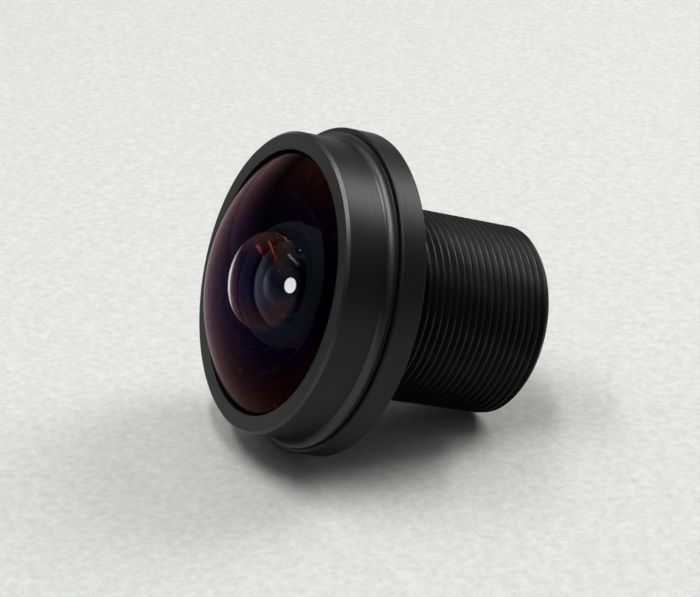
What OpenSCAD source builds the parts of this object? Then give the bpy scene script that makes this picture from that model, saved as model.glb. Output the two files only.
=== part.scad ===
// Screw-in fisheye lens for a board camera: a turned barrel with a threaded tube, a front ring that
// clamps the domed front element, and seven glass elements dropped into a stepped bore.
// Lengths are in millimetres. The optical axis is Y: the dome looks to -Y, the thread points to +Y.
// The origin is on the axis, on the rear face of the flange, where the lens meets its holder.

/* [Front ring] */
// Length of the front ring, from its front face to its rear edge
ring_len = 3.08; // [2.6:0.02:5]
// Wall of the front ring around the threaded boss
ring_wall = 0.62; // [0.4:0.02:1.2]
// Reach of the lip over the edge of the front element
lip_overlap = 0.36; // [0.2:0.02:0.8]
// Depth of the lip's inner wall, from the front face to the glass
lip_depth = 0.25; // [0.1:0.05:0.6]
// Chamfer on the outer edge of the front face
ring_chamfer = 0.2; // [0.05:0.05:0.4]
// Step from the front ring out to the rim of its foot
foot_step = 0.5; // [0.46:0.02:1.2]
// Thickness of the foot at its rim
foot_t = 0.06; // [0.04:0.02:0.4]
// Fillet that flares the front ring out to its foot
foot_fillet = 0.45; // [0.1:0.05:0.5]

/* [Barrel] */
// Open seam between the front ring and the flange
seam = 0.12; // [0.04:0.02:0.6]
// Step from the front ring out to the flange
flange_step = 0.78; // [0.5:0.02:1.5]
// Thickness of the flange
flange_t = 1.65; // [1:0.05:3]
// Chamfer on both edges of the flange
flange_chamfer = 0.08; // [0.05:0.01:0.3]
// Outer diameter of the barrel's thread
thread_d = 12; // [11:0.1:14]
// Chamfer at the rear end of the thread
end_chamfer = 0.38; // [0.1:0.02:0.8]
// Step from the front element's edge out to the threaded boss behind it
boss_step = 0.12; // [0.05:0.01:0.4]
// Thickness of the wall behind the last element
rear_wall = 2.1; // [0.8:0.1:3]
// Ledge of the rear wall that carries the last element, on the radius
rear_ledge = 0.4; // [0.2:0.05:1]
// Widening of the rear opening towards the filter, on the radius
rear_flare = 0.4; // [0:0.05:0.6]

/* [Front element] */
// Diameter of the front element
front_d = 16.9; // [15:0.1:20]
// Radius of its domed front surface
front_dome_r = 12; // [11:0.1:20]
// Radius of its hollow rear surface
front_hollow_r = 5.1; // [4.8:0.1:7]
// Thickness on the axis
front_t = 1.2; // [0.8:0.1:2]
// Thickness of its rim
front_rim = 1.15; // [0.9:0.05:2]
// Air between the front and second elements, on the axis
front_air = 3.2; // [2.8:0.05:4]

/* [Seal behind the front element] */
// Cord diameter of the O-ring
cord_d = 0.8; // [0.5:0.05:1]
// Squeeze of the O-ring between the glass and its groove
cord_squeeze = 0.12; // [0.05:0.01:0.2]
// Wall between the O-ring groove and the outside of the boss
groove_wall = 0.75; // [0.5:0.05:1.2]

/* [Front spacer] */
// Reach of the spacer's rim past the mouth of the front element's hollow
rim_reach = 0.7; // [0.4:0.05:1]
// Thickness of the spacer's rim
rim_t = 0.4; // [0.2:0.05:0.8]
// Wall of the spacer at the wide end of its cone
cone_wall = 0.7; // [0.4:0.05:1]
// Narrowing of the cone down to the second element, on the radius
cone_taper = 0.75; // [0.3:0.05:1.2]

/* [Second element] */
// Diameter of the second element
second_d = 9.8; // [9.2:0.1:11]
// Radius of its front surface
second_front_r = 8; // [7:0.1:20]
// Radius of its hollow rear surface
second_hollow_r = 3.9; // [3.3:0.05:4.5]
// Opening of the hollow at the rear face
second_hollow_d = 5.8; // [5:0.1:6]
// Thickness on the axis
second_t = 0.8; // [0.6:0.05:1.5]
// Air between the second and third elements, on the axis
second_air = 3; // [2.6:0.05:3.8]

/* [Third element] */
// Diameter of the third element and its spacers
third_d = 8.4; // [7.8:0.1:9]
// Radius of its hollow front surface
third_hollow_r = 4; // [3:0.1:20]
// Opening of the hollow at the front face
third_hollow_d = 3.4; // [3:0.1:4]
// Radius of its domed rear surface
third_rear_r = 13.8; // [8:0.1:40]
// Thickness on the axis
third_t = 1.5; // [1.1:0.05:2.5]

/* [Aperture stop] */
// Diameter of the light hole
stop_hole_d = 2.1; // [1:0.05:3]
// Thickness of the stop's disc
stop_t = 0.1; // [0.05:0.01:0.2]
// Air between the third element and the stop
stop_front_air = 0.3; // [0.2:0.05:1]
// Air between the stop and the fourth element
stop_rear_air = 0.25; // [0.2:0.05:1]

/* [Rear elements] */
// Diameter of the fourth to seventh elements and their spacers
rear_d = 7.4; // [7:0.1:7.6]
// Radius of the fourth element's front surface
fourth_front_r = 40; // [15:0.5:60]
// Radius of the fourth element's rear surface
fourth_rear_r = 4.5; // [4.2:0.1:12]
// Thickness of the fourth element on the axis
fourth_t = 2.6; // [2.4:0.05:3.4]
// Radius of the cemented pair's front surface
pair_front_r = 24; // [12:0.5:60]
// Radius of the cemented surface inside the pair
pair_joint_r = 9; // [7:0.1:14]
// Radius of the cemented pair's rear surface
pair_rear_r = 9.8; // [7:0.1:20]
// Thickness of the pair's front half on the axis
pair_front_t = 1.6; // [1.4:0.05:2.4]
// Thickness of the pair's rear half on the axis
pair_rear_t = 0.7; // [0.5:0.05:1.5]
// Radius of the seventh element's front surface
seventh_front_r = 20; // [12:0.5:40]
// Radius of the seventh element's rear surface
seventh_rear_r = 37; // [15:0.5:60]
// Thickness of the seventh element on the axis
seventh_t = 1; // [0.8:0.05:2]
// Air between neighbouring rear elements, on the axis
rear_air = 0.15; // [0.1:0.01:0.4]

/* [Filter] */
// Diameter of the infrared cut filter at the rear end
filter_d = 8.6; // [7.6:0.1:9.4]
// Thickness of the filter
filter_t = 0.4; // [0.2:0.05:0.8]
// Depth of the filter's rear face below the end of the barrel
filter_inset = 0.35; // [0.2:0.05:0.8]
// Size of the adhesive bead round the filter
bead = 0.2; // [0.1:0.02:0.35]

/* [Fits] */
// Radial clearance of glass and spacers in the bore
fit = 0.02; // [0.01:0.01:0.05]
// Radial clearance of the front ring's thread on the boss
thread_fit = 0.03; // [0.02:0.01:0.06]
// Clearance where a curved glass surface meets its seat
seat_fit = 0.01; // [0.005:0.005:0.03]
// Thickness of the light baffles
baffle_t = 0.06; // [0.03:0.01:0.12]
// Land of a spacer on the glass it holds, on the radius
land = 0.75; // [0.4:0.05:1]

/* [Hidden] */
$fn = 96;
arc_steps = 720;
cut = 1;

// Depth of a spherical surface at a distance from the axis, and the distance at a depth
function sag(r, at) = r - sqrt(r * r - at * at);
function half_chord(r, depth) = sqrt(r * r - (r - depth) * (r - depth));

// Radii that follow from the front element
boss_r = front_d / 2 + boss_step;
ring_bore_r = front_d / 2 + fit;
ring_thread_r = boss_r + thread_fit;
ring_r = ring_thread_r + ring_wall;
lip_r = front_d / 2 - lip_overlap;
foot_r = ring_r + foot_step;
flange_r = ring_r + flange_step;
thread_r = thread_d / 2;

// Places along the axis, from the front ring's face to the rear end, with 0 on the flange's seat
face_z = -(flange_t + seam + ring_len);
flange_z = -flange_t;
front_z = face_z + lip_depth - sag(front_dome_r, lip_r);
front_hollow_z = front_z + front_t;
front_seat_z = front_z + sag(front_dome_r, front_d / 2) + front_rim;
front_mouth_r = half_chord(front_hollow_r, front_seat_z - front_hollow_z);
second_z = front_hollow_z + front_air;
second_hollow_z = second_z + second_t;
second_seat_z = second_hollow_z + sag(second_hollow_r, second_hollow_d / 2);
third_hollow_z = second_hollow_z + second_air;
third_front_z = third_hollow_z - sag(third_hollow_r, third_hollow_d / 2);
third_rear_z = third_hollow_z + third_t;
stop_z = third_rear_z + stop_front_air;
stop_seat_z = stop_z + stop_t;
fourth_z = stop_seat_z + stop_rear_air;
fourth_rear_z = fourth_z + fourth_t;
pair_z = fourth_rear_z + rear_air;
pair_joint_z = pair_z + pair_front_t;
pair_rear_z = pair_joint_z + pair_rear_t;
seventh_z = pair_rear_z + rear_air;
seventh_rear_z = seventh_z + seventh_t;
rear_seat_z = seventh_rear_z + baffle_t;
filter_seat_z = rear_seat_z + rear_wall;
filter_rear_z = filter_seat_z + filter_t;
rear_z = filter_rear_z + filter_inset;

// Bores of the barrel, one step for each group of elements
rim_r = front_mouth_r + rim_reach;
rim_bore_r = rim_r + fit;
second_bore_r = second_d / 2 + fit;
third_bore_r = third_d / 2 + fit;
rear_bore_r = rear_d / 2 + fit;
rear_hole_r = rear_d / 2 - rear_ledge;
cone_mouth_r = second_d / 2 - cone_wall;
cone_hole_r = cone_mouth_r - cone_taper;
filter_bore_r = filter_d / 2 + fit;
groove_r = boss_r - groove_wall;
groove_w = cord_d + 2 * fit;
groove_depth = cord_d - cord_squeeze;
groove_mid_r = groove_r - groove_w / 2;

anodised = [0.09, 0.09, 0.1];
blacked = [0.05, 0.05, 0.055];
rubbery = [0.07, 0.07, 0.07];
front_glass = [0.12, 0.1, 0.16];
inner_glass = [0.55, 0.6, 0.66];
filter_glass = [0.45, 0.2, 0.25];
adhesive = [0.16, 0.15, 0.14];

// Turn a half section about the optical axis: X of the section is the radius, Y goes to the rear
module turned() { rotate([-90, 0, 0]) rotate_extrude() children(); }

// Section of a plain disc or ring between two places on the axis
module band(from, to, outer_r, inner_r = 0) {
    translate([inner_r, from]) square([outer_r - inner_r, to - from]);
}

// Section of a ball: its front pole is at a place on the axis, or its rear pole if r is below zero
module arc(pole, r, grow = 0) { translate([0, pole + r]) circle(r = abs(r) + grow, $fn = arc_steps); }

// Section of a lens that is domed on both sides and ground to its diameter
module domed(front, front_r, rear, rear_r, edge_r) {
    intersection() {
        band(front, rear, edge_r);
        arc(front, front_r);
        arc(rear, -rear_r);
    }
}

// One-piece barrel: boss for the front ring, flange, threaded tube and the stepped bore
module barrel() {
    color(anodised) turned() difference() {
        polygon([[0, front_seat_z], [boss_r, front_seat_z], [boss_r, flange_z],
                 [flange_r - flange_chamfer, flange_z], [flange_r, flange_z + flange_chamfer],
                 [flange_r, -flange_chamfer], [flange_r - flange_chamfer, 0],
                 [thread_r, 0], [thread_r, rear_z - end_chamfer],
                 [thread_r - end_chamfer, rear_z], [0, rear_z]]);
        band(front_seat_z - cut, front_seat_z + groove_depth, groove_r, groove_r - groove_w);
        stepped_bore();
    }
}

// Section of the bore: a step for each group of elements, the rear wall and the filter's recess
module stepped_bore() {
    polygon([[0, front_seat_z - cut], [rim_bore_r, front_seat_z - cut],
             [rim_bore_r, front_seat_z + rim_t], [second_bore_r, front_seat_z + rim_t],
             [second_bore_r, second_seat_z], [third_bore_r, second_seat_z],
             [third_bore_r, stop_seat_z], [rear_bore_r, stop_seat_z],
             [rear_bore_r, rear_seat_z], [rear_hole_r, rear_seat_z],
             [rear_hole_r + rear_flare, filter_seat_z], [filter_bore_r, filter_seat_z],
             [filter_bore_r, rear_z + cut], [0, rear_z + cut]]);
}

// Front ring: lip over the glass, threaded skirt over the boss, foot with its fillet
module front_ring() {
    rear_edge_z = face_z + ring_len;
    foot_z = rear_edge_z - foot_t;
    color(anodised) turned() difference() {
        polygon([[0, face_z], [ring_r - ring_chamfer, face_z], [ring_r, face_z + ring_chamfer],
                 [ring_r, foot_z - foot_fillet], [ring_r + foot_fillet, foot_z],
                 [foot_r, foot_z], [foot_r, rear_edge_z], [0, rear_edge_z]]);
        translate([ring_r + foot_fillet, foot_z - foot_fillet]) circle(r = foot_fillet);
        band(face_z - cut, face_z + cut, lip_r);
        intersection() {
            band(face_z, rear_edge_z + cut, ring_bore_r);
            arc(front_z, front_dome_r, seat_fit);
        }
        band(front_seat_z, rear_edge_z + cut, ring_thread_r);
    }
}

// Front element: steep meniscus with a flat seat round its hollow
module front_element() {
    color(front_glass) turned() difference() {
        intersection() {
            band(front_z, front_seat_z, front_d / 2);
            arc(front_z, front_dome_r);
        }
        arc(front_hollow_z, front_hollow_r);
    }
}

// O-ring squeezed between the front element and the floor of its groove
module front_o_ring() {
    color(rubbery) turned() intersection() {
        translate([groove_mid_r, front_seat_z + groove_depth / 2]) circle(d = cord_d);
        band(front_seat_z, front_seat_z + groove_depth, groove_r, groove_r - groove_w);
    }
}

// Front spacer: rim behind the front element and a dark cone down to the second element
module front_spacer() {
    cone_z = second_z + sag(second_front_r, cone_hole_r);
    color(blacked) turned() difference() {
        union() {
            band(front_seat_z, front_seat_z + rim_t, rim_r);
            band(front_seat_z, second_seat_z, second_d / 2);
        }
        arc(second_z, second_front_r, seat_fit);
        polygon([[0, front_seat_z - cut], [cone_mouth_r, front_seat_z - cut],
                 [cone_mouth_r, front_seat_z], [cone_hole_r, cone_z], [0, cone_z]]);
    }
}

// Second element: meniscus that sits on the first step of the bore
module second_element() {
    color(inner_glass) turned() difference() {
        intersection() {
            band(second_z, second_seat_z, second_d / 2);
            arc(second_z, second_front_r);
        }
        arc(second_hollow_z, second_hollow_r);
    }
}

module second_baffle() {
    color(blacked) turned()
        band(second_seat_z, second_seat_z + baffle_t, third_d / 2, second_hollow_d / 2);
}

module second_spacer() {
    color(blacked) turned()
        band(second_seat_z + baffle_t, third_front_z, third_d / 2, second_hollow_d / 2);
}

// Third element: hollow in front, gently domed at the rear
module third_element() {
    color(inner_glass) turned() difference() {
        intersection() {
            band(third_front_z, third_rear_z, third_d / 2);
            arc(third_rear_z, -third_rear_r);
        }
        arc(third_hollow_z, -third_hollow_r);
    }
}

module stop_spacer() {
    color(blacked) turned() difference() {
        band(third_front_z, stop_z, third_d / 2, third_d / 2 - land);
        arc(third_rear_z, -third_rear_r, seat_fit);
    }
}

// Aperture stop: thin disc that sits on the second step of the bore
module aperture_stop() {
    color(blacked) turned() band(stop_z, stop_seat_z, third_d / 2, stop_hole_d / 2);
}

module fourth_spacer() {
    color(blacked) turned() difference() {
        band(stop_seat_z, fourth_rear_z, rear_d / 2, rear_d / 2 - land);
        arc(fourth_z, fourth_front_r, seat_fit);
    }
}

module fourth_element() {
    color(inner_glass) turned()
        domed(fourth_z, fourth_front_r, fourth_rear_z, fourth_rear_r, rear_d / 2);
}

module pair_spacer() {
    color(blacked) turned() difference() {
        band(fourth_z, pair_joint_z, rear_d / 2, rear_d / 2 - land);
        arc(fourth_rear_z, -fourth_rear_r, seat_fit);
        arc(pair_z, pair_front_r, seat_fit + baffle_t);
    }
}

// Light baffle dished to the front of the cemented pair
module pair_baffle() {
    color(blacked) turned() difference() {
        intersection() {
            band(fourth_z, pair_joint_z, rear_d / 2, rear_d / 2 - land);
            arc(pair_z, pair_front_r, baffle_t);
        }
        arc(pair_z, pair_front_r, seat_fit);
    }
}

module pair_front_element() {
    color(inner_glass) turned()
        domed(pair_z, pair_front_r, pair_joint_z, pair_joint_r, rear_d / 2);
}

// Rear half of the cemented pair, hollowed to the front half's curve
module pair_rear_element() {
    color(inner_glass) turned() difference() {
        intersection() {
            band(pair_z, pair_rear_z, rear_d / 2);
            arc(pair_rear_z, -pair_rear_r);
        }
        arc(pair_joint_z, -pair_joint_r, seat_fit);
    }
}

module seventh_spacer() {
    color(blacked) turned() difference() {
        band(pair_joint_z, seventh_rear_z, rear_d / 2, rear_d / 2 - land);
        arc(pair_rear_z, -pair_rear_r, seat_fit);
        arc(seventh_z, seventh_front_r, seat_fit);
    }
}

module seventh_element() {
    color(inner_glass) turned()
        domed(seventh_z, seventh_front_r, seventh_rear_z, seventh_rear_r, rear_d / 2);
}

// Light baffle between the seventh element and the rear wall
module rear_baffle() {
    color(blacked) turned() difference() {
        band(seventh_z, rear_seat_z, rear_d / 2, rear_hole_r);
        arc(seventh_rear_z, -seventh_rear_r, seat_fit);
    }
}

// Infrared cut filter in its recess at the rear end
module infrared_filter() {
    color(filter_glass) turned() band(filter_seat_z, filter_rear_z, filter_d / 2);
}

// Bead of adhesive in the corner between the filter and the recess
module filter_bead() {
    color(adhesive) turned() polygon([[filter_bore_r - bead, filter_rear_z],
        [filter_bore_r, filter_rear_z], [filter_bore_r, filter_rear_z + bead]]);
}

barrel();
front_ring();
front_element();
front_o_ring();
front_spacer();
second_element();
second_baffle();
second_spacer();
third_element();
stop_spacer();
aperture_stop();
fourth_spacer();
fourth_element();
pair_baffle();
pair_spacer();
pair_front_element();
pair_rear_element();
seventh_spacer();
seventh_element();
rear_baffle();
infrared_filter();
filter_bead();
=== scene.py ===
import math

import bmesh
import bpy
from mathutils import Matrix, Vector


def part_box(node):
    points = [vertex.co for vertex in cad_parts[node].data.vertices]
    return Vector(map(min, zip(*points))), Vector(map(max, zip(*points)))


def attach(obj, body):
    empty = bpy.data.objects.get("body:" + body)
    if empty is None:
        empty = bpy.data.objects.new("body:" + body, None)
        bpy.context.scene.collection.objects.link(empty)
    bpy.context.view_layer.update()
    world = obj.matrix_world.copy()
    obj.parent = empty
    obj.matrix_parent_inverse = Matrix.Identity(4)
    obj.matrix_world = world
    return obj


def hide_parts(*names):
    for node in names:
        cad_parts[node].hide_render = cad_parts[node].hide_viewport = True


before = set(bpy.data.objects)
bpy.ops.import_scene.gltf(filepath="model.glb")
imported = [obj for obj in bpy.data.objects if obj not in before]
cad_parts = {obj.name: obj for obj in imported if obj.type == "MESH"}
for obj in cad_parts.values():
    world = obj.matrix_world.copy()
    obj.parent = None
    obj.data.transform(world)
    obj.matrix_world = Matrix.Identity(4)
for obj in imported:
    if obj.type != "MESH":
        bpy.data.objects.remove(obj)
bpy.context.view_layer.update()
mm = 0.001  # sizes below are in millimetres, Blender works in metres
creaseAngle = 28  # degrees, a sharper edge stays crisp
print("frame loaded:", len(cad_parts), "nodes")


def hexColour(text):  # sRGB hex to linear
    parts = [int(text[i:i + 2], 16) / 255 for i in (1, 3, 5)]
    linear = [c / 12.92 if c <= 0.04045 else ((c + 0.055) / 1.055) ** 2.4 for c in parts]
    return (*linear, 1.0)


def addNode(tree, kind, settings=None, inputs=None, links=None):
    node = tree.nodes.new(kind)
    for key, value in (settings or {}).items():
        setattr(node, key, value)
    for key, value in (inputs or {}).items():
        node.inputs[key].default_value = value
    for key, source in (links or {}).items():
        tree.links.new(source, node.inputs[key])
    return node


def newMaterial(name):
    material = bpy.data.materials.new(name)
    material.use_nodes = True
    tree = material.node_tree
    tree.nodes.clear()
    output = addNode(tree, "ShaderNodeOutputMaterial")
    return material, tree, output


def extent(node):  # first and last place of a CAD node on the axis, and its outer radius
    low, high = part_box(node)
    return low[1] / mm, high[1] / mm, (high[0] - low[0]) / 2 / mm


def sag(ball, at):  # depth of a ball's surface at a distance from the axis
    return ball - math.sqrt(ball * ball - at * at)


def halfChord(ball, depth):  # radius of a ball's mouth at a depth below its pole
    return math.sqrt(ball ** 2 - (ball - depth) ** 2)


def arc(pole, ball, fromR, toR, steps):  # points on a ball, whose centre is in front if it is below zero
    sign = 1 if ball > 0 else -1
    points = []
    for i in range(steps + 1):
        r = fromR + (toR - fromR) * i / steps
        points.append((r, pole + sign * sag(abs(ball), r)))
    return points


def turnSection(name, section, zones, materials, segments=192, closed=True):
    mesh = bpy.data.meshes.new(name)
    bm = bmesh.new()
    rings = []
    for r, along in section:
        if r < 1e-6:  # on the axis
            rings.append([bm.verts.new((0, along * mm, 0))])
            continue
        ring = []
        for k in range(segments):
            turn = 2 * math.pi * k / segments
            ring.append(bm.verts.new((r * mm * math.sin(turn), along * mm, r * mm * math.cos(turn))))
        rings.append(ring)
    for i in range(len(rings) if closed else len(rings) - 1):
        near, far = rings[i], rings[(i + 1) % len(rings)]
        if len(near) == 1 and len(far) == 1:
            continue
        for k in range(segments):
            after = (k + 1) % segments
            corners = [near[k % len(near)], far[k % len(far)]]
            if len(far) > 1:
                corners.append(far[after])
            if len(near) > 1:
                corners.append(near[after])
            bm.faces.new(corners).material_index = zones[i] if zones else 0
    bmesh.ops.recalc_face_normals(bm, faces=bm.faces)
    bm.to_mesh(mesh)
    bm.free()
    for material in materials:
        mesh.materials.append(material)
    smooth(mesh)
    piece = bpy.data.objects.new(name, mesh)
    bpy.context.collection.objects.link(piece)
    return piece


def smooth(mesh):
    mesh.shade_smooth()
    mesh.set_sharp_from_angle(angle=math.radians(creaseAngle))


def settle(piece, node):  # one body carries everything
    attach(piece, "root")
    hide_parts(node)


turnedMetal = {  # millimetres, then shader values
    "feed": 0.11,  # a real feed of about 0.05 mm is too fine to show, so its rings are drawn coarser
    "feedDepth": 0.02, "grain": 0.25, "feedDetail": 2.0, "grainDetail": 5.0, "relief": 0.3, "stretch": 0.4,
    "stretchTurn": 0.25}


def anodised(name, tones, rough, shine):  # black anodised aluminium: dull sheen, drawn out round the axis
    material, tree, output = newMaterial(name)
    place = addNode(tree, "ShaderNodeTexCoord")
    parts = addNode(tree, "ShaderNodeSeparateXYZ", links={"Vector": place.outputs["Object"]})
    flat = addNode(tree, "ShaderNodeCombineXYZ", links={"X": parts.outputs["X"], "Z": parts.outputs["Z"]})
    radius = addNode(tree, "ShaderNodeVectorMath", {"operation": "LENGTH"}, links={0: flat.outputs[0]})
    path = addNode(tree, "ShaderNodeMath", {"operation": "ADD"},
                   links={0: radius.outputs["Value"], 1: parts.outputs["Y"]})
    rings = addNode(tree, "ShaderNodeTexNoise", {"noise_dimensions": "1D"},
                    {"Scale": 1 / (turnedMetal["feed"] * mm), "Detail": turnedMetal["feedDetail"]},
                    {"W": path.outputs[0]})
    grain = addNode(tree, "ShaderNodeTexNoise", None,
                    {"Scale": 1 / (turnedMetal["grain"] * mm), "Detail": turnedMetal["grainDetail"]},
                    {"Vector": place.outputs["Object"]})
    tone = addNode(tree, "ShaderNodeMix", {"data_type": "RGBA"},
                   {"A": hexColour(tones[0]), "B": hexColour(tones[1])}, {"Factor": grain.outputs["Fac"]})
    dull = addNode(tree, "ShaderNodeMapRange", None, {"To Min": rough[0], "To Max": rough[1]},
                   {"Value": rings.outputs["Fac"]})
    bump = addNode(tree, "ShaderNodeBump", None,
                   {"Strength": turnedMetal["relief"], "Distance": turnedMetal["feedDepth"] * mm},
                   {"Height": rings.outputs["Fac"]})
    around = addNode(tree, "ShaderNodeTangent", {"direction_type": "RADIAL", "axis": "Y"})
    skin = addNode(tree, "ShaderNodeBsdfPrincipled", None,
                   {"Specular IOR Level": shine, "Anisotropic": turnedMetal["stretch"],
                    "Anisotropic Rotation": turnedMetal["stretchTurn"]},
                   {"Base Color": tone.outputs["Result"], "Roughness": dull.outputs[0],
                    "Normal": bump.outputs["Normal"], "Tangent": around.outputs[0]})
    tree.links.new(skin.outputs[0], output.inputs["Surface"])
    return material


def mattBlack(name, tones, rough, shine, grainSize):  # blackened metal, film, ink, rubber: little light back
    material, tree, output = newMaterial(name)
    place = addNode(tree, "ShaderNodeTexCoord")
    grain = addNode(tree, "ShaderNodeTexNoise", None, {"Scale": 1 / (grainSize * mm), "Detail": 3.0},
                    {"Vector": place.outputs["Object"]})
    tone = addNode(tree, "ShaderNodeMix", {"data_type": "RGBA"},
                   {"A": hexColour(tones[0]), "B": hexColour(tones[1])}, {"Factor": grain.outputs["Fac"]})
    skin = addNode(tree, "ShaderNodeBsdfPrincipled", None, {"Roughness": rough, "Specular IOR Level": shine},
                   {"Base Color": tone.outputs["Result"]})
    tree.links.new(skin.outputs[0], output.inputs["Surface"])
    return material


filmIndex = 1.38  # magnesium fluoride


def coatedGlass(name, ior, film, residue):  # polished optical glass: clear, with coloured reflections
    material, tree, output = newMaterial(name)
    place = addNode(tree, "ShaderNodeTexCoord")
    facing = addNode(tree, "ShaderNodeSeparateXYZ", links={"Vector": place.outputs["Normal"]})
    slope = addNode(tree, "ShaderNodeMath", {"operation": "ABSOLUTE"}, links={0: facing.outputs["Y"]})
    layer = addNode(tree, "ShaderNodeMath", {"operation": "MULTIPLY"}, {1: film}, {0: slope.outputs[0]})
    skin = addNode(tree, "ShaderNodeBsdfPrincipled", None,
                   {"Base Color": hexColour("#FFFFFF"), "Specular Tint": hexColour(residue), "Roughness": 0.0,
                    "IOR": ior, "Transmission Weight": 1.0, "Thin Film IOR": filmIndex},
                   {"Thin Film Thickness": layer.outputs[0]})  # laid along the axis, so it thins on a slope
    tree.links.new(skin.outputs[0], output.inputs["Surface"])
    return material


ringMetal = anodised("anodisedAluminiumTurnedRing", ("#0B0B0C", "#111112"), (0.34, 0.5), 0.45)
edgeMetalPaintedSheen = anodised("anodisedAluminiumCutEdgePaintedSheen", ("#0D0D0E", "#141415"), (0.26, 0.36), 1.0)  # finer cut, so less rough; its lighter tones and stronger shine than the ring's are a painted highlight on the chamfer and fillet
barrelMetal = anodised("anodisedAluminiumTurnedBarrel", ("#0A0A0B", "#0F0F10"), (0.36, 0.52), 0.45)
innerMetal = mattBlack("anodisedAluminiumMatt", ("#040404", "#080808"), 0.6, 0.2, 0.05)
blackFilm = mattBlack("polyesterFilmBlacked", ("#030303", "#060606"), 0.7, 0.15, 0.04)
edgeInk = mattBlack("edgeInkBrushed", ("#020202", "#050505"), 0.8, 0.0, 0.15)
sealRubber = mattBlack("nitrileRubberMoulded", ("#0B0B0B", "#121212"), 0.55, 0.4, 0.1)
blackGlue = mattBlack("epoxyCured", ("#0E0D0C", "#171614"), 0.35, 0.5, 0.3)
print("materials made")

elements = {  # balls of the two faces, thickness on the axis, index, films in nanometres, tint of the coating
    "front_element": {"front": 12.0, "rear": 5.1, "thick": 1.2, "ior": 1.9,
                      "films": (134, 116), "residue": "#D8ACC2"},
    "second_element": {"front": 8.0, "rear": 3.9, "thick": 0.8, "ior": 1.83,
                       "films": (0, 0), "residue": "#24303A"},
    "third_element": {"front": -4.0, "rear": -13.8, "thick": 1.5, "ior": 1.85,
                      "films": (0, 0), "residue": "#3A3448"},
    "fourth_element": {"front": 40.0, "rear": -4.5, "thick": 2.6, "ior": 1.62,
                       "films": (0, 0), "residue": "#3A3448"},
    "pair_front_element": {"front": 24.0, "rear": -9.0, "thick": 1.6, "ior": 1.62,
                           "films": (0, 0), "residue": "#30483C"},
    "pair_rear_element": {"front": -9.0, "rear": -9.8, "thick": 0.7, "ior": 1.85,
                          "films": (0, 0), "residue": "#30483C"},
    "seventh_element": {"front": 20.0, "rear": -37.0, "thick": 1.0, "ior": 1.62,
                        "films": (0, 0), "residue": "#48303C"},
}
frontFace, inkedEdge, rearFace = 0, 1, 2
faceSteps = 56


def elementSection(first, last, edge, glass):  # the points, and the zone that follows each of them
    pole = first if glass["front"] > 0 else last - glass["thick"]
    rearPole = pole + glass["thick"]
    mouth = edge if glass["front"] > 0 else min(edge, halfChord(-glass["front"], pole - first))
    points = arc(pole, glass["front"], 0, mouth, faceSteps)
    zones = [frontFace] * faceSteps
    if mouth < edge:
        points.append((edge, first))
    mouth = edge if glass["rear"] < 0 else halfChord(glass["rear"], last - rearPole)
    if mouth < edge:
        points.append((edge, last))
    zones += [inkedEdge] * (len(points) - faceSteps)
    points += arc(rearPole, glass["rear"], mouth, 0, faceSteps)
    return points, zones + [rearFace] * (faceSteps + 1)


for node, glass in elements.items():
    words = [word.capitalize() for word in node.split("_")]
    finish = "opticalGlassCoated" + "".join(words)
    front = coatedGlass(finish + "Front", glass["ior"], glass["films"][0], glass["residue"])
    inside = glass["films"][1] * glass["ior"]  # met from inside, a film counts relative to the index
    rear = coatedGlass(finish + "Rear", glass["ior"], inside, glass["residue"])
    points, zones = elementSection(*extent(node), glass)
    piece = turnSection(words[0].lower() + "".join(words[1:]), points, zones, [front, edgeInk, rear])
    settle(piece, node)
print("elements ground")

fit, seatFit = 0.02, 0.01  # clearances of the glass, round it and on its curved seats
domePole, domeSeat, domeR = extent("front_element")
dome = elements["front_element"]["front"]
frontRing = {"lip": 8.09, "lipDepth": 0.25, "outside": 9.22, "chamfer": 0.2, "foot": 0.06, "fillet": 0.45,
             "thread": 8.6, "edge": 0.03, "rim": 0.015, "arcSteps": 10, "segments": 256}
turnedFace, cutFace = 0, 1


def ringSection():
    lip, outside, chamfer = frontRing["lip"], frontRing["outside"], frontRing["chamfer"]
    edge, rim, steps = frontRing["edge"], frontRing["rim"], frontRing["arcSteps"]
    near, far = edge * 0.3, edge * 0.7  # how a broken edge runs into the chamfer
    face, rear, footR = extent("front_ring")
    footFace, shoulder = rear - frontRing["foot"], outside - chamfer
    section = [(lip, face + frontRing["lipDepth"]), (lip, face + edge), (lip + edge, face),
               (shoulder - edge, face)]
    chamferAt = len(section)
    section += [(shoulder + far, face + near), (outside - near, face + chamfer - far),
                (outside, face + chamfer + edge)]
    filletAt = len(section)
    for i in range(steps + 1):  # concave, out to the foot
        turn = math.pi / 2 * i / steps
        out, back = 1 - math.cos(turn), 1 - math.sin(turn)
        section.append((outside + frontRing["fillet"] * out, footFace - frontRing["fillet"] * back))
    section += [(footR - rim, footFace), (footR, footFace + rim), (footR, rear - rim), (footR - rim, rear),
                (frontRing["thread"], rear), (frontRing["thread"], domeSeat), (domeR + fit, domeSeat)]
    section += arc(domePole - seatFit, dome + seatFit, domeR + fit, lip, steps)[:-1]
    # the chamfer and the fillet take the cut-edge finish, whose lighter tones and stronger shine are a
    # painted highlight
    cut = [chamferAt] + list(range(filletAt, filletAt + steps))
    return section, [cutFace if i in cut else turnedFace for i in range(len(section))]


piece = turnSection("frontRing", *ringSection(), [ringMetal, edgeMetalPaintedSheen], frontRing["segments"])
settle(piece, "front_ring")
print("front ring turned")

barrelFirst, rearEnd, flangeR = extent("barrel")
flangeRear = 0.0  # the frame's origin
barrel = {"pitch": 0.5, "depth": 0.307, "crest": 6.0, "segments": 192, "rowsPerTurn": 14, "endChamfer": 0.38,
          "boss": 8.57, "edge": 0.03, "flangeFront": -1.65, "flangeChamfer": 0.08, "rearHole": 3.3,
          "rearFlare": 0.4, "spacerRim": 0.4, "groove": 0.84, "weld": 2e-4,
          "rootTo": 0.15, "crestFrom": 0.85}  # the thread's flats, as shares of half a pitch
threadRoot = barrel["crest"] - barrel["depth"]


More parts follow.
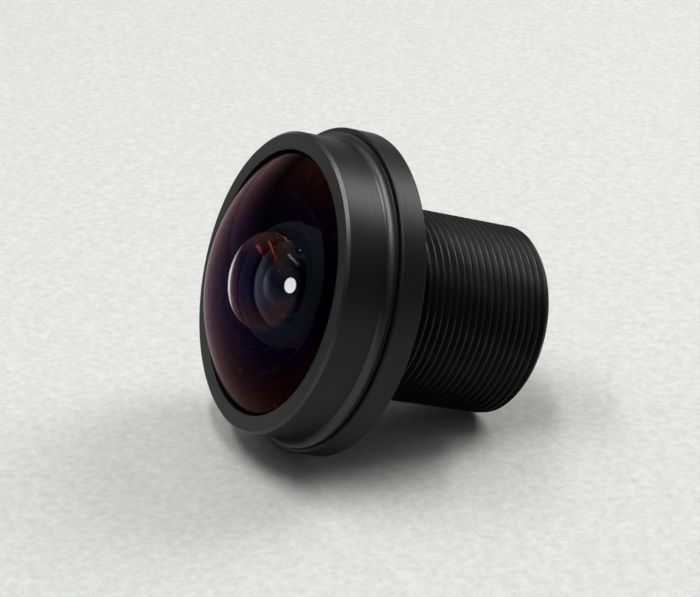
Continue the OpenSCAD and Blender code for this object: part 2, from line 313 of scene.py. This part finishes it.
def threadTree():
    tree = bpy.data.node_groups.new("helicalThread", "GeometryNodeTree")
    for label, kind in (("Columns", "Int"), ("Rows", "Int"), ("Crest", "Float"), ("Root", "Float"),
                        ("Pitch", "Float"), ("Start", "Float"), ("End", "Float"), ("Chamfer", "Float"),
                        ("Metal", "Material")):
        tree.interface.new_socket(label, in_out="INPUT", socket_type="NodeSocket" + kind)
    tree.interface.new_socket("Thread", in_out="OUTPUT", socket_type="NodeSocketGeometry")
    size = addNode(tree, "NodeGroupInput").outputs
    grid = addNode(tree, "GeometryNodeMeshGrid", None, {"Size X": 1.0, "Size Y": 1.0},
                   {"Vertices X": size["Columns"], "Vertices Y": size["Rows"]})
    place = addNode(tree, "GeometryNodeInputPosition")
    spot = addNode(tree, "ShaderNodeSeparateXYZ", links={"Vector": place.outputs[0]})
    whole = {"From Min": -0.5, "From Max": 0.5, "To Min": 0.0}  # the grid runs from -0.5 to 0.5 both ways
    turn = addNode(tree, "ShaderNodeMapRange", None, {**whole, "To Max": 2 * math.pi},
                   {"Value": spot.outputs["X"]})
    along = addNode(tree, "ShaderNodeMapRange", None, whole,
                    {"Value": spot.outputs["Y"], "To Min": size["Start"], "To Max": size["End"]})
    lead = addNode(tree, "ShaderNodeMapRange", None, whole,
                   {"Value": spot.outputs["X"], "To Max": size["Pitch"]})
    slope = addNode(tree, "ShaderNodeMath", {"operation": "SUBTRACT"},
                    links={0: along.outputs[0], 1: lead.outputs[0]})
    half = addNode(tree, "ShaderNodeMath", {"operation": "MULTIPLY"}, {1: 0.5}, {0: size["Pitch"]})
    wave = addNode(tree, "ShaderNodeMath", {"operation": "PINGPONG"},
                   links={0: slope.outputs[0], 1: half.outputs[0]})
    rootFlat = addNode(tree, "ShaderNodeMath", {"operation": "MULTIPLY"}, {1: barrel["rootTo"]},
                       {0: half.outputs[0]})
    crestFlat = addNode(tree, "ShaderNodeMath", {"operation": "MULTIPLY"}, {1: barrel["crestFrom"]},
                        {0: half.outputs[0]})
    ridge = addNode(tree, "ShaderNodeMapRange", None, None,
                    {"Value": wave.outputs[0], "From Min": rootFlat.outputs[0],
                     "From Max": crestFlat.outputs[0], "To Min": size["Root"], "To Max": size["Crest"]})
    chamferFrom = addNode(tree, "ShaderNodeMath", {"operation": "SUBTRACT"},
                          links={0: size["End"], 1: size["Chamfer"]})
    chamferTip = addNode(tree, "ShaderNodeMath", {"operation": "SUBTRACT"},
                         links={0: size["Crest"], 1: size["Chamfer"]})
    chamfer = addNode(tree, "ShaderNodeMapRange", None, None,
                      {"Value": along.outputs[0], "From Min": chamferFrom.outputs[0], "From Max": size["End"],
                       "To Min": size["Crest"], "To Max": chamferTip.outputs[0]})
    reliefTo = addNode(tree, "ShaderNodeMath", {"operation": "ADD"},
                       links={0: size["Start"], 1: half.outputs[0]})
    relief = addNode(tree, "ShaderNodeMapRange", None, None,
                     {"Value": along.outputs[0], "From Min": size["Start"], "From Max": reliefTo.outputs[0],
                      "To Min": size["Root"], "To Max": size["Crest"]})
    capped = addNode(tree, "ShaderNodeMath", {"operation": "MINIMUM"},
                     links={0: ridge.outputs[0], 1: chamfer.outputs[0]})
    radius = addNode(tree, "ShaderNodeMath", {"operation": "MINIMUM"},
                     links={0: capped.outputs[0], 1: relief.outputs[0]})
    upright = addNode(tree, "ShaderNodeCombineXYZ", links={"Y": along.outputs[0], "Z": radius.outputs[0]})
    wound = addNode(tree, "ShaderNodeVectorRotate", {"rotation_type": "Y_AXIS"},
                    links={"Vector": upright.outputs[0], "Angle": turn.outputs[0]})
    moved = addNode(tree, "GeometryNodeSetPosition",
                    links={"Geometry": grid.outputs["Mesh"], "Position": wound.outputs[0]})
    real = addNode(tree, "GeometryNodeRealizeInstances", links={"Geometry": moved.outputs[0]})
    metal = addNode(tree, "GeometryNodeSetMaterial",
                    links={"Geometry": real.outputs[0], "Material": size["Metal"]})
    addNode(tree, "NodeGroupOutput", links={"Thread": metal.outputs[0]})
    return tree


def makeThread():
    holder = bpy.data.objects.new("threadHolder", bpy.data.meshes.new("threadHolder"))
    bpy.context.collection.objects.link(holder)
    modifier = holder.modifiers.new("thread", "NODES")
    modifier.node_group = threadTree()
    turns = (rearEnd - flangeRear) / barrel["pitch"]
    sizes = {"Columns": barrel["segments"] + 1, "Rows": int(turns * barrel["rowsPerTurn"]),
             "Crest": barrel["crest"] * mm, "Root": threadRoot * mm, "Pitch": barrel["pitch"] * mm,
             "Start": flangeRear * mm, "End": rearEnd * mm, "Chamfer": barrel["endChamfer"] * mm,
             "Metal": barrelMetal}
    for item in modifier.node_group.interface.items_tree:
        if item.in_out == "INPUT":
            modifier[item.identifier] = sizes[item.name]
    mesh = bpy.data.meshes.new_from_object(holder.evaluated_get(bpy.context.evaluated_depsgraph_get()))
    bpy.data.objects.remove(holder)
    return mesh


def barrelSection():  # from the rear rim through the bore and round the flange to the root of the thread
    edge, boss, rearHole = barrel["edge"], barrel["boss"], barrel["rearHole"]
    flangeFront, chamfer = barrel["flangeFront"], barrel["flangeChamfer"]
    spacerR = extent("front_spacer")[2] + fit
    rimRear = barrelFirst + barrel["spacerRim"]
    secondLast, secondR = extent("second_element")[1], extent("second_element")[2] + fit
    stopLast, thirdR = extent("aperture_stop")[1], extent("aperture_stop")[2] + fit
    rearSeat, rearR = extent("rear_baffle")[1], extent("rear_baffle")[2] + fit
    filterFirst, filterR = extent("infrared_filter")[0], extent("infrared_filter")[2] + fit
    grooveLast, grooveR = extent("front_o_ring")[1], extent("front_o_ring")[2] + fit
    grooveInner = grooveR - barrel["groove"]
    return [(barrel["crest"] - barrel["endChamfer"], rearEnd), (filterR + edge, rearEnd),
            (filterR, rearEnd - edge), (filterR, filterFirst),
            (rearHole + barrel["rearFlare"], filterFirst), (rearHole, rearSeat), (rearR, rearSeat),
            (rearR, stopLast), (thirdR, stopLast), (thirdR, secondLast), (secondR, secondLast),
            (secondR, rimRear), (spacerR, rimRear), (spacerR, barrelFirst), (grooveInner, barrelFirst),
            (grooveInner, grooveLast), (grooveR, grooveLast), (grooveR, barrelFirst),
            (boss - edge, barrelFirst), (boss, barrelFirst + edge), (boss, flangeFront),
            (flangeR - chamfer, flangeFront), (flangeR, flangeFront + chamfer),
            (flangeR, flangeRear - chamfer), (flangeR - chamfer, flangeRear), (threadRoot, flangeRear)]


def makeBarrel():
    body = turnSection("barrelTurned", barrelSection(), None, [barrelMetal], barrel["segments"], False)
    thread = makeThread()
    bm = bmesh.new()
    bm.from_mesh(body.data)
    bm.from_mesh(thread)
    bmesh.ops.remove_doubles(bm, verts=bm.verts, dist=barrel["weld"] * mm)
    bmesh.ops.recalc_face_normals(bm, faces=bm.faces)
    openEdges = sum(1 for edge in bm.edges if len(edge.link_faces) != 2)
    bm.to_mesh(body.data)
    bm.free()
    bpy.data.meshes.remove(thread)
    smooth(body.data)
    settle(body, "barrel")
    print("barrel cut:", len(body.data.polygons), "faces,", openEdges, "open edges")


makeBarrel()

frontSpacer = {"rim": 0.4, "mouth": 4.2, "hole": 3.45, "steps": 6, "tread": 0.65}


def spacerSection():
    mouth, hole, steps = frontSpacer["mouth"], frontSpacer["hole"], frontSpacer["steps"]
    first, _, rimR = extent("front_spacer")
    pole, bodyR = extent("second_element")[0], extent("second_element")[2]
    ball = elements["second_element"]["front"] + seatFit
    drop = pole - seatFit + sag(ball, hole) - first
    rimRear = first + frontSpacer["rim"]
    section = [(mouth, first)]
    for i in range(steps):  # steps down the cone stop stray light
        outer, inner = [mouth + (hole - mouth) * k / steps for k in (i, i + 1)]
        section += [(outer, first + drop * (i + frontSpacer["tread"]) / steps),
                    (inner, first + drop * (i + 1) / steps)]
    section += arc(pole - seatFit, ball, hole, bodyR, steps)[1:]
    return section + [(bodyR, rimRear), (rimR, rimRear), (rimR, first)]


settle(turnSection("frontSpacer", spacerSection(), None, [innerMetal]), "front_spacer")

apertureStop = {"hole": 1.05, "bevel": 0.06}
stopFirst, stopLast, stopR = extent("aperture_stop")
stopSection = [(apertureStop["hole"], stopFirst), (stopR, stopFirst), (stopR, stopLast),
               (apertureStop["hole"] + apertureStop["bevel"], stopLast)]
settle(turnSection("apertureStop", stopSection, None, [blackFilm]), "aperture_stop")

infraredFilter = {"ior": 1.52, "film": 320, "residue": "#FFFFFF", "bevel": 0.1}
filterFirst, filterLast, filterR = extent("infrared_filter")
flatR, bevel = filterR - infraredFilter["bevel"], infraredFilter["bevel"]
filterSection = [(0, filterFirst), (flatR, filterFirst), (filterR, filterFirst + bevel),
                 (filterR, filterLast - bevel), (flatR, filterLast), (0, filterLast)]
filterGlass = coatedGlass("filterGlassInfraredCut", infraredFilter["ior"], infraredFilter["film"],
                          infraredFilter["residue"])
filterZones = (frontFace, inkedEdge, inkedEdge, inkedEdge, frontFace, frontFace)
settle(turnSection("infraredFilter", filterSection, filterZones, [filterGlass, edgeInk]),
       "infrared_filter")

plain = {"front_o_ring": sealRubber, "second_baffle": blackFilm, "second_spacer": innerMetal,
         "stop_spacer": innerMetal, "fourth_spacer": innerMetal, "pair_baffle": blackFilm,
         "pair_spacer": innerMetal, "seventh_spacer": innerMetal, "rear_baffle": blackFilm,
         "filter_bead": blackGlue}
for node, material in plain.items():  # solids that already have their shape
    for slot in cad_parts[node].material_slots:
        slot.material = material
print("inner pieces dressed")

flangeFoot, rearFoot = -barrel["flangeChamfer"], rearEnd - barrel["endChamfer"]
restFront = Vector((0, flangeFoot, -flangeR)) * mm  # the lens lies on its flange and its rear rim
restRear = Vector((0, rearFoot, -barrel["crest"])) * mm
floorUp = Vector((1, 0, 0)).cross(restRear - restFront).normalized()
stage = {"floor": 1200, "felt": ("#DCDCDA", "#FAFAF8"), "feltMirrored": "#B8B8B7", "clump": 0.55,
         "fibre": 0.14,  # a real fibre of about 0.02 mm is too fine to show, so they are drawn coarser
         "fibreShare": 0.5, "fibreBend": 1.5, "contrast": (0.3, 0.7), "nap": 0.2, "napStrength": 0.5,
         "cameraPlace": (123.0, -72.544, 37.478), "cameraTarget": (2.6, -0.66, 0.6), "lens": 124.34,
         "sensor": 36.0, "clip": (0.005, 10.0), "bounces": 32, "mirrorBounces": 8}
tent = {  # tones by height, where it is open as right and back, and its strength there and opposite
    "tones": ((0.0, "#B8B9BA"), (0.4, "#38383A"), (1.0, "#F4F5F6")), "open": (0.6, -0.8),
    "strength": (0.15, 1.25)}
softboxes = {  # toward right, up and back from the lens, distance, width, length from front to back, power
    "rightSoftbox": {"toward": (0.62, 0.7, 0.36), "away": 400, "width": 175, "length": 190, "power": 0.58},
    "topSoftbox": {"toward": (-0.1, 0.95, -0.14), "away": 400, "width": 34, "length": 290, "power": 0.42},
    "leftSoftbox": {"toward": (-0.44, 0.88, 0.0), "away": 400, "width": 34, "length": 290, "power": 0.36},
}


def makeFloor():
    side = Vector((1, 0, 0))
    along = floorUp.cross(side)
    half = stage["floor"] / 2 * mm
    mesh = bpy.data.meshes.new("floor")
    signs = ((-1, -1), (1, -1), (1, 1), (-1, 1))
    corners = [restFront + side * x * half + along * y * half for x, y in signs]
    mesh.from_pydata([tuple(c) for c in corners], [], [(0, 1, 2, 3)])
    floor = bpy.data.objects.new("floor", mesh)
    bpy.context.collection.objects.link(floor)
    material, tree, output = newMaterial("feltWhitePressed")  # pressed felt: soft clumps of fibre, no gloss
    place = addNode(tree, "ShaderNodeTexCoord")
    clumps = addNode(tree, "ShaderNodeTexNoise", None, {"Scale": 1 / (stage["clump"] * mm), "Detail": 4.0},
                     {"Vector": place.outputs["Object"]})
    fibres = addNode(tree, "ShaderNodeTexNoise", None,
                     {"Scale": 1 / (stage["fibre"] * mm), "Detail": 3.0, "Distortion": stage["fibreBend"]},
                     {"Vector": place.outputs["Object"]})
    mottle = addNode(tree, "ShaderNodeMix", None, {"Factor": stage["fibreShare"]},
                     {"A": clumps.outputs["Fac"], "B": fibres.outputs["Fac"]})
    spread = addNode(tree, "ShaderNodeMapRange", None,
                     {"From Min": stage["contrast"][0], "From Max": stage["contrast"][1]},
                     {"Value": mottle.outputs["Result"]})
    tone = addNode(tree, "ShaderNodeMix", {"data_type": "RGBA"},
                   {"A": hexColour(stage["felt"][0]), "B": hexColour(stage["felt"][1])},
                   {"Factor": spread.outputs[0]})
    path = addNode(tree, "ShaderNodeLightPath")  # seen in a mirror, the felt is plain and darker
    mirrored = addNode(tree, "ShaderNodeMath", {"operation": "SUBTRACT", "use_clamp": True},
                       links={0: path.outputs["Is Glossy Ray"], 1: path.outputs["Is Transmission Ray"]})
    shown = addNode(tree, "ShaderNodeMix", {"data_type": "RGBA"}, {"B": hexColour(stage["feltMirrored"])},
                    {"A": tone.outputs["Result"], "Factor": mirrored.outputs[0]})
    raised = addNode(tree, "ShaderNodeMapRange", None, {"To Min": stage["napStrength"], "To Max": 0.0},
                     {"Value": mirrored.outputs[0]})
    bump = addNode(tree, "ShaderNodeBump", None, {"Distance": stage["nap"] * mm},
                   {"Strength": raised.outputs[0], "Height": mottle.outputs["Result"]})
    felt = addNode(tree, "ShaderNodeBsdfPrincipled", None, {"Roughness": 1.0, "Specular IOR Level": 0.0},
                   {"Base Color": shown.outputs["Result"], "Normal": bump.outputs["Normal"]})
    clear = addNode(tree, "ShaderNodeBsdfTransparent")  # from below, the floor is out of the way
    facing = addNode(tree, "ShaderNodeNewGeometry")
    mix = addNode(tree, "ShaderNodeMixShader",
                  links={"Fac": facing.outputs["Backfacing"], 1: felt.outputs[0], 2: clear.outputs[0]})
    tree.links.new(mix.outputs[0], output.inputs["Surface"])
    mesh.materials.append(material)


def makeCamera():
    data = bpy.data.cameras.new("camera")
    data.lens, data.sensor_width = stage["lens"], stage["sensor"]
    data.clip_start, data.clip_end = stage["clip"]
    camera = bpy.data.objects.new("camera", data)
    bpy.context.collection.objects.link(camera)
    place = Vector(stage["cameraPlace"]) * mm
    forward = (Vector(stage["cameraTarget"]) * mm - place).normalized()
    right = forward.cross(floorUp).normalized()
    turn = Matrix((right, right.cross(forward), -forward)).transposed().to_4x4()
    camera.matrix_world = Matrix.Translation(place) @ turn
    bpy.context.scene.camera = camera
    return right


def makeLight(right):
    back = floorUp.cross(right)
    for name, box in softboxes.items():
        data = bpy.data.lights.new(name, "AREA")
        data.shape, data.energy = "RECTANGLE", box["power"]
        data.size, data.size_y = box["width"] * mm, box["length"] * mm
        lamp = bpy.data.objects.new(name, data)
        bpy.context.collection.objects.link(lamp)
        toRight, toTop, toBack = box["toward"]
        away = (right * toRight + floorUp * toTop + back * toBack).normalized()
        across = back.cross(away).normalized()
        turn = Matrix((across, away.cross(across), away)).transposed().to_4x4()
        lamp.matrix_world = Matrix.Translation(away * box["away"] * mm) @ turn
    world = bpy.data.worlds.new("studio")
    bpy.context.scene.world = world
    world.use_nodes = True
    tree = world.node_tree
    tree.nodes.clear()
    direction = addNode(tree, "ShaderNodeTexCoord")
    height = addNode(tree, "ShaderNodeVectorMath", {"operation": "DOT_PRODUCT"}, {1: floorUp},
                     {0: direction.outputs["Generated"]})  # the tent is pale low down and at the top
    tones = addNode(tree, "ShaderNodeValToRGB", links={"Fac": height.outputs["Value"]})
    tones.color_ramp.elements.new(0.5)  # a third stop, placed with the others
    for stop, (at, tone) in zip(tones.color_ramp.elements, tent["tones"]):
        stop.position, stop.color = at, hexColour(tone)
    toRight, toBack = tent["open"]
    nearness = addNode(tree, "ShaderNodeVectorMath", {"operation": "DOT_PRODUCT"},
                       {1: right * toRight + back * toBack}, {0: direction.outputs["Generated"]})
    openLevel, closedLevel = tent["strength"]
    level = addNode(tree, "ShaderNodeMapRange", None,
                    {"From Min": 1.0, "From Max": -1.0, "To Min": openLevel, "To Max": closedLevel},
                    {"Value": nearness.outputs["Value"]})
    sky = addNode(tree, "ShaderNodeBackground",
                  links={"Color": tones.outputs["Color"], "Strength": level.outputs[0]})
    addNode(tree, "ShaderNodeOutputWorld", links={"Surface": sky.outputs[0]})


makeFloor()
makeLight(makeCamera())
bpy.context.scene.view_settings.view_transform = "Standard"
bpy.context.scene.cycles.max_bounces = stage["bounces"]  # light passes sixteen faces of glass
bpy.context.scene.cycles.transmission_bounces = stage["bounces"]
bpy.context.scene.cycles.glossy_bounces = stage["mirrorBounces"]
print("stage set")
